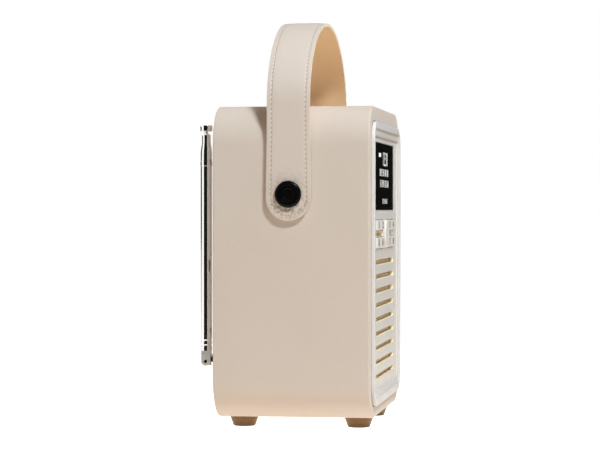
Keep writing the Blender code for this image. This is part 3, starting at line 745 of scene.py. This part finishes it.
# Painted shade: the cloth is darker in the upper part of each slot, where the fascia shades it.
# in_slot is the place between the middle of one slot, at 0, and the middle of the next above it,
# at 1.
in_slot = maths(cloth_tree, "SUBTRACT", cloth_z, (SLOT_TOP - 20 * SLOT_PITCH) * MM)
in_slot = maths(cloth_tree, "MODULO", maths(cloth_tree, "DIVIDE", in_slot, SLOT_PITCH * MM), 1.0)
above = ramp(cloth_tree, in_slot, -0.13, 0.05)
below = ramp(cloth_tree, in_slot, 0.8, 0.97)
in_shade = times(cloth_tree, above, maths(cloth_tree, "LESS_THAN", in_slot, 0.5))
in_shade = maths(cloth_tree, "MAXIMUM", in_shade, times(cloth_tree, below, 0.6))
in_slots = maths(cloth_tree, "LESS_THAN", cloth_z, 0.112)
in_shade = times(cloth_tree, in_shade, in_slots)
weave_tone = blend_colours(cloth_tree, in_shade, weave_tone, (0.40, 0.30, 0.16, 1.0))
cloth_tree.links.new(weave_tone, cloth_shader.inputs["Base Color"])
give_bump(cloth_tree, cloth_shader, weave_height, 0.00015)


def finish_node(material, *names):
    """Give CAD parts their material; their shape is right as it is."""
    for name in names:
        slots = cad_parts[name].data.materials
        slots.clear()
        slots.append(material)


finish_node(cloth, "grille_cloth", "sensor_cloth")

# The strap: two layers of leather sewn into one band, with a painted cream edge and a
# bare tan lining. It swings on a broad black screw in each side of the case.
STRAP_Y, STRAP_Z = 1.0, 147.2
STRAP_LOW = STRAP_Z - 16.4
STRAP_X, STRAP_THICK, STRAP_RISE = 89.7, 2.4, 55.6
STRAP_HALF, STRAP_ROUND = 13.4, 14.0
CASE_TOP = CASE_Z + CASE_H / 2
ROUND_Z = STRAP_LOW + STRAP_ROUND


def strap_half(z):
    """Half the strap's width at a height: round at the end, widest at the screw."""
    if z < ROUND_Z:
        return math.sqrt(max(0.0, STRAP_ROUND**2 - (ROUND_Z - z) ** 2))
    return STRAP_HALF + (STRAP_ROUND - STRAP_HALF) * max(0.0, 1 - (z - ROUND_Z) / 40)


def strap_inset(y, z):
    """How far a point on the strap is inside its outline."""
    if z < ROUND_Z:
        return STRAP_ROUND - math.hypot(ROUND_Z - z, y)
    return strap_half(z) - abs(y)


def strap_arch(steps):
    """Places in X and Z along the strap's arch over the case, from left to right."""
    angles = [math.pi * i / steps for i in range(steps + 1)]
    return [(-STRAP_X * math.cos(a), CASE_TOP + STRAP_RISE * math.sin(a)) for a in angles]


def strap_out(x, z):
    """The strap's outward direction in X and Z."""
    if z <= CASE_TOP:
        return Vector((math.copysign(1.0, x), 0.0))
    return Vector((x / STRAP_X**2, (z - CASE_TOP) / STRAP_RISE**2)).normalized()


side_rows = [STRAP_LOW + STRAP_ROUND * (1 - math.cos(math.radians(a))) for a in range(3, 90, 6)]
side_rows += [ROUND_Z + i * (CASE_TOP - ROUND_Z) / 26 for i in range(26)]
rows = [(-STRAP_X, z) for z in side_rows] + strap_arch(96)
rows += [(STRAP_X, z) for z in reversed(side_rows)]
ACROSS = 18
strap_bm = bmesh.new()
bmesh.ops.create_grid(strap_bm, x_segments=len(rows) - 1, y_segments=ACROSS, size=1.0)
for vert in strap_bm.verts:
    x, z = rows[round((vert.co.x + 1) / 2 * (len(rows) - 1))]
    spread = math.sin(vert.co.y * math.pi / 2) * 0.35 + vert.co.y * 0.65
    y = spread * strap_half(z)
    out = strap_out(x, z)
    crown = 0.35 * min(1.0, max(0.0, strap_inset(y, z)) / 6.0) - 0.35
    lift = STRAP_THICK / 2 + crown
    vert.co = at(x + out.x * lift, STRAP_Y + y, z + out.y * lift)
screw_place = at(0, STRAP_Y, STRAP_Z)
near_screw = [
    f
    for f in strap_bm.faces
    if (f.calc_center_median() - screw_place).yz.length < 3.6 * MM
]
bmesh.ops.delete(strap_bm, geom=near_screw, context="FACES")
bmesh.ops.recalc_face_normals(strap_bm, faces=strap_bm.faces)
top_face = max(strap_bm.faces, key=lambda f: f.calc_center_median().z)
if top_face.normal.z < 0:
    bmesh.ops.reverse_faces(strap_bm, faces=strap_bm.faces)
bmesh.ops.solidify(strap_bm, geom=strap_bm.faces[:], thickness=2.05 * MM)
rim = [e for e in strap_bm.edges if len(e.link_faces) == 2 and e.calc_face_angle(0) > 0.9]
bevelled(strap_bm, rim, 0.85, 3, clamp=True)
OUTER, EDGE, LINING = 0, 1, 2
for face in strap_bm.faces:
    middle = face.calc_center_median() / MM
    out = strap_out(middle.x, middle.z)
    facing = face.normal.x * out.x + face.normal.z * out.y
    face.material_index = OUTER if facing > 0.97 else LINING if facing < -0.75 else EDGE
strap_leather, strap_tree, strap_shader, strap_place = look("strap leather", **SOFT_SHEEN)
strap_skin = place_group(
    strap_tree,
    grain,
    Vector=strap_place,
    Base=(0.61, 0.527, 0.47, 1.0),
    Shade=(0.57, 0.485, 0.42, 1.0),
    Scale=1.1,
)
SEAM_IN = 2.8
inset_depth = strap_tree.nodes.new("ShaderNodeAttribute")
inset_depth.attribute_name = "inset"
seam_gap = maths(strap_tree, "SUBTRACT", inset_depth.outputs["Fac"], SEAM_IN)
seam = ramp(strap_tree, maths(strap_tree, "ABSOLUTE", seam_gap), 0.15, 0.75, 1.0, 0.0)
# Puckers fan out round the screw, where the leather is pinched, and most below it. Their hollows
# and the sunk seam line get painted shade.
from_screw = vector_maths(strap_tree, "SUBTRACT", strap_place, screw_place)
flattened = vector_maths(strap_tree, "MULTIPLY", from_screw, (0.0, 1.0, 1.0))
pinch = ramp(strap_tree, vector_maths(strap_tree, "LENGTH", flattened), 0.0098, 0.0162, 1.0, 0.0)
puckers = noise(strap_tree, strap_place, 420.0, 3.0, Roughness=0.6)
pucker_mask = times(strap_tree, ramp(strap_tree, puckers, 0.42, 0.62), pinch)
strap_z = shader_node(strap_tree, "ShaderNodeSeparateXYZ", Vector=strap_place).outputs["Z"]
below_screw = ramp(strap_tree, strap_z, screw_place.z - 0.010, screw_place.z - 0.001, 1.0, 0.3)
pucker_mask = times(strap_tree, pucker_mask, below_screw)
# Painted shade: the sunk seam line and the pucker hollows are darkened towards a deep brown.
seam_shade = times(strap_tree, seam, 0.4)
pucker_shade = times(strap_tree, pucker_mask, 0.95)
shaded = maths(strap_tree, "ADD", seam_shade, pucker_shade, clamp=True)
strap_tone = blend_colours(strap_tree, shaded, strap_skin["Color"], (0.27, 0.2, 0.14, 1.0))
strap_tree.links.new(strap_tone, strap_shader.inputs["Base Color"])
strap_tree.links.new(strap_skin["Roughness"], strap_shader.inputs["Roughness"])
relief = times(strap_tree, strap_skin["Height"], 0.12)
relief = maths(strap_tree, "SUBTRACT", relief, times(strap_tree, seam, 0.5))
relief = maths(strap_tree, "SUBTRACT", relief, times(strap_tree, pucker_mask, 0.45))
give_bump(strap_tree, strap_shader, relief, 0.0005)

edge_paint = leather(
    "cream edge paint", (0.90, 0.80, 0.65, 1.0), (0.84, 0.72, 0.56, 1.0), 2.0, 0.00003
)
lining = leather("tan lining", (0.86, 0.59, 0.34, 1.0), (0.76, 0.50, 0.265, 1.0), 1.6, 0.00008)
strap = new_piece(strap_bm, "strap", strap_leather, "strap", ["carry_strap"], 40.0)
strap.data.materials.append(edge_paint)
strap.data.materials.append(lining)
insets = strap.data.attributes.new("inset", "FLOAT", "POINT")
for vert in strap.data.vertices:
    insets.data[vert.index].value = strap_inset(vert.co.y / MM - CASE_Y - STRAP_Y, vert.co.z / MM)

# The stitching: a pale thread sewn through both layers of the strap, in a sunk line
# close inside its outline. Each stitch is one small bead.
STITCH_PITCH = 2.9
seam_line = []
for degrees in range(0, 180, 5):
    angle = math.radians(degrees)
    radius = STRAP_ROUND - SEAM_IN
    seam_line.append((-STRAP_X, radius * math.cos(angle), ROUND_Z - radius * math.sin(angle)))
leg = [ROUND_Z + i * (CASE_TOP - ROUND_Z) / 30 for i in range(30)]
climb = [(-STRAP_X, z) for z in leg] + strap_arch(120) + [(STRAP_X, z) for z in reversed(leg)]
seam_line += [(x, -(strap_half(z) - SEAM_IN), z) for x, z in climb]
seam_line += [(STRAP_X, -y, z) for x, y, z in seam_line[:36]]
seam_line += [(x, strap_half(z) - SEAM_IN, z) for x, z in reversed(climb)]
stitch_bm = bmesh.new()
carried = 0.0
for start, end in zip(seam_line, seam_line[1:] + seam_line[:1]):
    start, end = Vector(start), Vector(end)
    length = (end - start).length
    if length < 1e-6:
        continue
    run = (end - start) / length
    while carried < length:
        spot = start + run * carried
        flat = strap_out(spot.x, spot.z)
        out = Vector((flat.x, 0.0, flat.y))
        across = run.cross(out).normalized()
        lift = STRAP_THICK / 2 - 0.33
        basis = Matrix((run, across, out)).transposed().to_4x4()
        where = Matrix.Translation(at(*(spot + out * lift + Vector((0, STRAP_Y, 0)))))
        size = Matrix.Diagonal((1.15 * MM, 0.3 * MM, 0.3 * MM, 1.0))
        stand = where @ basis @ size
        bmesh.ops.create_icosphere(stitch_bm, subdivisions=1, radius=1.0, matrix=stand)
        carried += STITCH_PITCH
    carried -= length
bmesh.ops.recalc_face_normals(stitch_bm, faces=stitch_bm.faces)
thread = flecked(
    "pale thread", 3000.0, 2.0, (0.86, 0.83, 0.78, 1.0), (0.68, 0.62, 0.54, 1.0), 0.00006,
    Roughness=0.7, Sheen_Weight=0.3,
)[0]
new_piece(stitch_bm, "strap_stitching", thread, "strap", (), 60.0)

# The strap screws: broad blackened heads, turned with a rim, a groove and a sunk centre.
# A flanged steel bush under each head lets the strap turn.
metal, metal_in, metal_out = new_group("metal", "Gloss", 0.3)
tarnish = noise(metal, metal_in["Vector"], 90.0, 6.0)
metal_tone = blend_colours(metal, tarnish, metal_in["Base"], metal_in["Shade"])
metal.links.new(metal_tone, metal_out["Color"])
metal.links.new(noise(metal, metal_in["Vector"], 1800.0, 2.0), metal_out["Height"])
worn = times(metal, maths(metal, "SUBTRACT", tarnish, 0.5), 0.12)
metal.links.new(maths(metal, "ADD", metal_in["Gloss"], worn, clamp=True), metal_out["Roughness"])


def plated(name, base, shade, gloss, **constants):
    return skinned(name, metal, 0.000002, constants, Base=base, Shade=shade, Gloss=gloss)


BLACK, DARK_GREY = (0.0015, 0.0015, 0.0015, 1.0), (0.004, 0.004, 0.004, 1.0)
black_metal = plated("black metal", BLACK, DARK_GREY, 0.25, Specular_IOR_Level=0.12)
steel = plated("plated steel", (0.62, 0.61, 0.59, 1.0), (0.5, 0.49, 0.47, 1.0), 0.3, Metallic=1.0)
SCREW_HEAD = [
    (0, 78.0), (1.6, 78.0), (1.6, 91.15), (7.9, 91.15), (8.25, 91.35), (8.3, 91.7),
    (8.25, 92.3), (7.9, 92.8), (7.3, 93.2), (6.6, 93.4), (5.9, 93.42), (5.5, 93.25),
    (5.3, 92.85), (5.1, 92.7), (4.8, 92.75), (4.6, 93.0), (4.3, 93.1), (3.6, 93.1),
    (3.2, 92.9), (3.0, 92.5), (0, 92.4),
]
for side, s in (("left", -1), ("right", 1)):
    screw_bm = turned(SCREW_HEAD, at(0, STRAP_Y, STRAP_Z), (s, 0, 0), 64)
    name = f"strap_screw_{side}"
    new_piece(screw_bm, name + "_turned", black_metal, "cabinet", [name], 30.0)
finish_node(steel, "strap_bush_left", "strap_bush_right")

# The feet: four tapered feet, turned from stained wood. Each is held by a sunk screw
# from below.
foot_wood, foot_tree, foot_shader, foot_place = look(
    "turned foot wood", Coat_Weight=0.1, Coat_Roughness=0.15
)
foot_long = vector_maths(foot_tree, "MULTIPLY", foot_place, (1.0, 1.0, 0.12))
foot_grain = noise(foot_tree, foot_long, 700.0, 5.0, Distortion=0.6)
foot_tone = blend_colours(
    foot_tree, foot_grain, (0.235, 0.118, 0.024, 1.0), (0.155, 0.072, 0.011, 1.0)
)
# Painted shade: the wood is darker close to the floor.
foot_z = shader_node(foot_tree, "ShaderNodeSeparateXYZ", Vector=foot_place).outputs["Z"]
foot_floor_shade = ramp(foot_tree, foot_z, 0.0, 0.0035, 0.75, 0.0)
foot_tone = blend_colours(foot_tree, foot_floor_shade, foot_tone, (0.07, 0.035, 0.012, 1.0))
foot_tree.links.new(foot_tone, foot_shader.inputs["Base Color"])
foot_gloss = ramp(foot_tree, foot_grain, 0.0, 1.0, 0.3, 0.5)
foot_tree.links.new(foot_gloss, foot_shader.inputs["Roughness"])
give_bump(foot_tree, foot_shader, foot_grain, 0.00002)
FOOT = [
    (1.7, 7.6), (9.2, 7.6), (9.4, 7.4), (9.4, 6.9), (9.25, 6.5), (7.15, 0.75), (6.95, 0.3),
    (6.6, 0.05), (6.3, 0.0), (3.5, 0.0), (3.2, 0.3), (3.2, 3.2), (1.7, 3.2),
]
for front_back, y in (("front", -36.8), ("back", 36.8)):
    for side, x in (("left", -41.4), ("right", 41.4)):
        foot_bm = turned(FOOT, at(x, y, 0), (0, 0, 1), 64)
        name = f"foot_{front_back}_{side}"
        new_piece(foot_bm, name + "_turned", foot_wood, "cabinet", [name], 40.0)
        finish_node(steel, f"foot_screw_{front_back}_{side}")

# The back: a moulded panel screwed to a batten on each side, with an opening for the
# battery door, and a small brown hook that holds the folded antenna.
MAST_X, MAST_Y, PIN_Z = -70.0, 56.0, 42.8
PANEL_BACK = 48.7
DC_JACK, AUDIO_JACK = (24.0, 32.0), (44.0, 32.0)
DOOR_X, DOOR_Z = (-29.6, 59.6), (52.4, 111.6)
BACK_SCREWS = {
    "low_left": (-70.0, 62.0),
    "high_left": (-70.0, 168.0),
    "low_right": (70.0, 62.0),
    "high_right": (70.0, 168.0),
}
back_bm = thick_plate(PANEL_W, PANEL_H, PANEL_R, PANEL_Z, 46.4, PANEL_BACK - 46.4, segments=16)
back_cuts = [
    bar(at(DC_JACK[0], 0, DC_JACK[1]), (0, 1, 0), 4.2, 40, 60, 48),
    bar(at(AUDIO_JACK[0], 0, AUDIO_JACK[1]), (0, 1, 0), 3.4, 40, 60, 48),
    bar(at(MAST_X, 0, PIN_Z), (0, 1, 0), 4.2, 40, 60, 48),
    block((DOOR_X[0] - 0.4, 40, DOOR_Z[0] - 0.4), (DOOR_X[1] + 0.4, 60, DOOR_Z[1] + 0.4)),
]
for x, z in BACK_SCREWS.values():
    countersink = [(0, 40.0), (1.7, 40.0), (1.7, 47.2), (3.2, 48.6), (3.2, 60.0), (0, 60.0)]
    back_cuts.append(turned(countersink, at(x, 0, z), (0, 1, 0), 32))
back_bm = carved(back_bm, back_cuts, 0.25)
warm_white = plastic("warm white back", (0.70, 0.68, 0.65, 1.0), (0.65, 0.625, 0.585, 1.0), 0.42)
new_piece(
    back_bm, "back_panel_moulded", warm_white, "cabinet", ["back_panel"], 38.0
)
hook_bm = block((MAST_X - 5.6, 48.0, 98.7), (MAST_X - 4.2, 51.0, 106.0), 0.4)
hook_brown = plastic("brown hook", (0.12, 0.07, 0.03, 1.0), (0.09, 0.05, 0.022, 1.0), 0.45)
new_piece(hook_bm, "antenna_hook", hook_brown, "cabinet", (), 40.0)

# The battery door: a moulded cover that swings down on its round lower edge. Ribs on
# its face give a grip.
door_bm = block((DOOR_X[0], 46.6, DOOR_Z[0]), (DOOR_X[1], 48.5, DOOR_Z[1]), 0.9, 6)
ribs = [
    block((7.0, 48.3, 104.0 - i * 1.8), (23.0, 48.68, 104.8 - i * 1.8), 0.15, 2) for i in range(5)
]
door_look = plastic("warm white door", (0.70, 0.68, 0.65, 1.0), (0.65, 0.625, 0.585, 1.0), 0.46)
door_bm = joined([door_bm] + ribs)
new_piece(
    door_bm, "battery_door_moulded", door_look, "door", ["battery_door"], 40.0
)

# The sockets stand in one dark housing, level with the panel. Its screws are plain steel
# with crossed slots.
dark_plastic = plastic("dark plastic", (0.035, 0.034, 0.033, 1.0), (0.02, 0.02, 0.02, 1.0), 0.48)
finish_node(dark_plastic, "rear_jacks", "display_module", "battery_pack", "encoder_body")
BACK_SCREW = [(0, 39.0), (1.4, 39.0), (1.4, 47.2), (2.8, 48.4), (2.6, 48.5), (0, 48.5)]
for label, (x, z) in BACK_SCREWS.items():
    head = turned(BACK_SCREW, at(x, 0, z), (0, 1, 0))
    cross = [
        block((x - 1.6, 47.6, z - 0.3), (x + 1.6, 49.0, z + 0.3)),
        block((x - 0.3, 47.6, z - 1.6), (x + 0.3, 49.0, z - 0.3)),
        block((x - 0.3, 47.6, z + 0.3), (x + 0.3, 49.0, z + 1.6)),
    ]
    name = f"back_screw_{label}"
    head = carved(head, cross, 0.05, 2)
    new_piece(head, name + "_head", steel, "cabinet", [name], 35.0)

# The antenna foot: a fixed chrome bush in the panel, and a knuckle that swivels in it.
# Its tongue stands between the mast's two ears, on a blackened pin.
chrome = plated(
    "polished chrome", (0.9, 0.9, 0.9, 1.0), (0.82, 0.82, 0.83, 1.0), 0.1, Metallic=1.0
)
SOCKET = [
    (2.0, 44.0), (4.0, 44.0), (4.0, 48.8), (5.4, 48.8), (5.6, 49.0), (5.6, 49.6),
    (5.2, 50.0), (2.0, 50.0),
]
bush_bm = turned(SOCKET, at(MAST_X, 0, PIN_Z), (0, 1, 0))
new_piece(bush_bm, "antenna_bush", chrome, "cabinet", ["antenna_socket"])

# A copy of the CAD knuckle's shape, merged, with its sharp edges rounded.
knuckle_bm = bmesh.new()
knuckle_bm.from_mesh(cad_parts["antenna_knuckle"].data)
bmesh.ops.remove_doubles(knuckle_bm, verts=knuckle_bm.verts, dist=1e-6)
bmesh.ops.dissolve_limit(
    knuckle_bm, angle_limit=math.radians(1), verts=knuckle_bm.verts, edges=knuckle_bm.edges
)
sharp = [
    e
    for e in knuckle_bm.edges
    if len(e.link_faces) == 2 and e.calc_face_angle(0) > math.radians(40)
]
bevelled(knuckle_bm, sharp, 0.25, 2, clamp=True)
bmesh.ops.recalc_face_normals(knuckle_bm, faces=knuckle_bm.faces)
new_piece(
    knuckle_bm, "antenna_knuckle_cast", chrome, "knuckle", ["antenna_knuckle"], 35.0
)
finish_node(black_metal, "antenna_pin")

# The mast: an outer chrome tube with a ring and two grooves, and two satin ears that tilt
# on the pin. Four thinner sections slide out of it, and the last ends in a cap.
mast_line = at(MAST_X, MAST_Y, 0)
OUTER_TUBE = [
    (0, 49.0), (3.3, 49.0), (3.65, 49.3), (3.65, 52.3), (3.3, 52.6), (3.3, 52.8),
    (3.65, 53.45), (3.65, 55.3), (3.3, 55.6), (3.3, 55.8), (3.65, 56.45), (3.65, 165.1),
    (3.8, 165.3), (3.8, 167.7), (3.65, 167.9), (3.65, 173.7), (3.05, 178.2), (3.0, 178.5),
    (2.9, 178.5), (2.9, 173.5), (3.25, 173.5), (3.25, 51.0), (0, 51.0),
]
EAR_HALF, EAR_TOP = 2.8, 49.4
ears = []
for low, high in ((-3.6, -2.1), (2.1, 3.6)):
    ear = block(
        (MAST_X + low, MAST_Y - EAR_HALF, PIN_Z - EAR_HALF),
        (MAST_X + high, MAST_Y + EAR_HALF, EAR_TOP),
    )
    lower = [e for e in ear.edges if max(v.co.z for v in e.verts) < PIN_Z * MM]
    across = [e for e in lower if abs(e.verts[0].co.y - e.verts[1].co.y) < 1e-6]
    bevelled(ear, across, EAR_HALF - 0.05, 12)
    sharp = [e for e in ear.edges if e.calc_face_angle(0) > math.radians(50)]
    bevelled(ear, sharp, 0.2, 2)
    ears.append(ear)
satin = plated(
    "satin plating", (0.80, 0.79, 0.77, 1.0), (0.70, 0.69, 0.67, 1.0), 0.4, Metallic=1.0
)
new_piece(joined(ears), "antenna_ears", satin, "mast", (), 25.0)
outer_bm = turned(OUTER_TUBE, mast_line, (0, 0, 1), 64)
new_piece(outer_bm, "antenna_outer_tube", chrome, "mast", ["antenna_mast"], 25.0)
SECTIONS = {
    "antenna_section_2": ("mast_2", 2.8, 2.45, 51.4, 184.6),
    "antenna_section_3": ("mast_3", 2.2, 1.9, 51.8, 185.0),
    "antenna_section_4": ("mast_4", 1.65, 1.35, 52.2, 185.4),
}
for name, (body, radius, bore, low, high) in SECTIONS.items():
    tube = [
        (radius + 0.2, low), (radius + 0.2, low + 3.0), (radius, low + 3.0),
        (radius, high - 0.3), (radius - 0.2, high), (bore - 0.15, high),
        (bore - 0.15, high - 4.0), (bore, high - 4.0), (bore, low),
    ]
    tube_bm = turned(tube, mast_line, (0, 0, 1))
    new_piece(tube_bm, name + "_tube", chrome, body, [name], 25.0)
TIP = [
    (0, 52.6), (1.25, 52.6), (1.25, 55.6), (1.1, 55.6), (1.1, 186.6), (1.7, 186.8),
    (3.5, 186.8), (3.78, 187.0), (3.85, 187.4), (3.85, 189.9), (3.7, 190.3), (3.3, 190.5),
    (0, 190.5),
]
cap_bm = turned(TIP, mast_line, (0, 0, 1), 64)
new_piece(cap_bm, "antenna_cap", chrome, "mast_tip", ["antenna_tip"], 25.0)

# Inside: the sleeve that the leather is glued to, the battens that take the back's
# screws and the speaker baffle are plain board.
board = flecked(
    "plain board", 260.0, 8.0, (0.58, 0.43, 0.28, 1.0), (0.42, 0.29, 0.17, 1.0), 0.0002,
    Roughness=0.75,
)[0]
finish_node(board, "cabinet_sleeve", "batten_left", "batten_right", "speaker_baffle")

# The speakers: pressed grey steel baskets on the baffle, black paper cones, and ferrite
# magnets behind them.
basket_steel = plated("pressed steel", (0.25, 0.25, 0.25, 1.0), (0.19, 0.19, 0.19, 1.0), 0.5)
paper = flecked(
    "pressed paper", 800.0, 6.0, (0.1, 0.1, 0.1, 1.0), (0.05, 0.05, 0.05, 1.0), 0.0002,
    Roughness=0.9,
)[0]
ferrite = plated("ferrite", (0.06, 0.06, 0.07, 1.0), (0.035, 0.035, 0.04, 1.0), 0.6)
for side in ("left", "right"):
    finish_node(basket_steel, f"speaker_basket_{side}")
    finish_node(paper, f"speaker_cone_{side}")
    finish_node(ferrite, f"speaker_magnet_{side}")

# The boards: green circuit boards with fine pale tracks. The encoder's turning parts
# are plated steel.
circuit, circuit_tree, circuit_shader, circuit_place = look("circuit board", Roughness=0.35)
tracks = shader_node(
    circuit_tree,
    "ShaderNodeTexBrick",
    Vector=circuit_place,
    Scale=160.0,
    Color1=(0.03, 0.16, 0.07, 1.0),
    Color2=(0.04, 0.2, 0.09, 1.0),
    Mortar=(0.12, 0.36, 0.16, 1.0),
)
circuit_tree.links.new(tracks.outputs["Color"], circuit_shader.inputs["Base Color"])
give_bump(circuit_tree, circuit_shader, tracks.outputs["Fac"], 0.0001)
finish_node(circuit, "main_board", "key_board")
finish_node(steel, "encoder_rotor", "encoder_shaft")
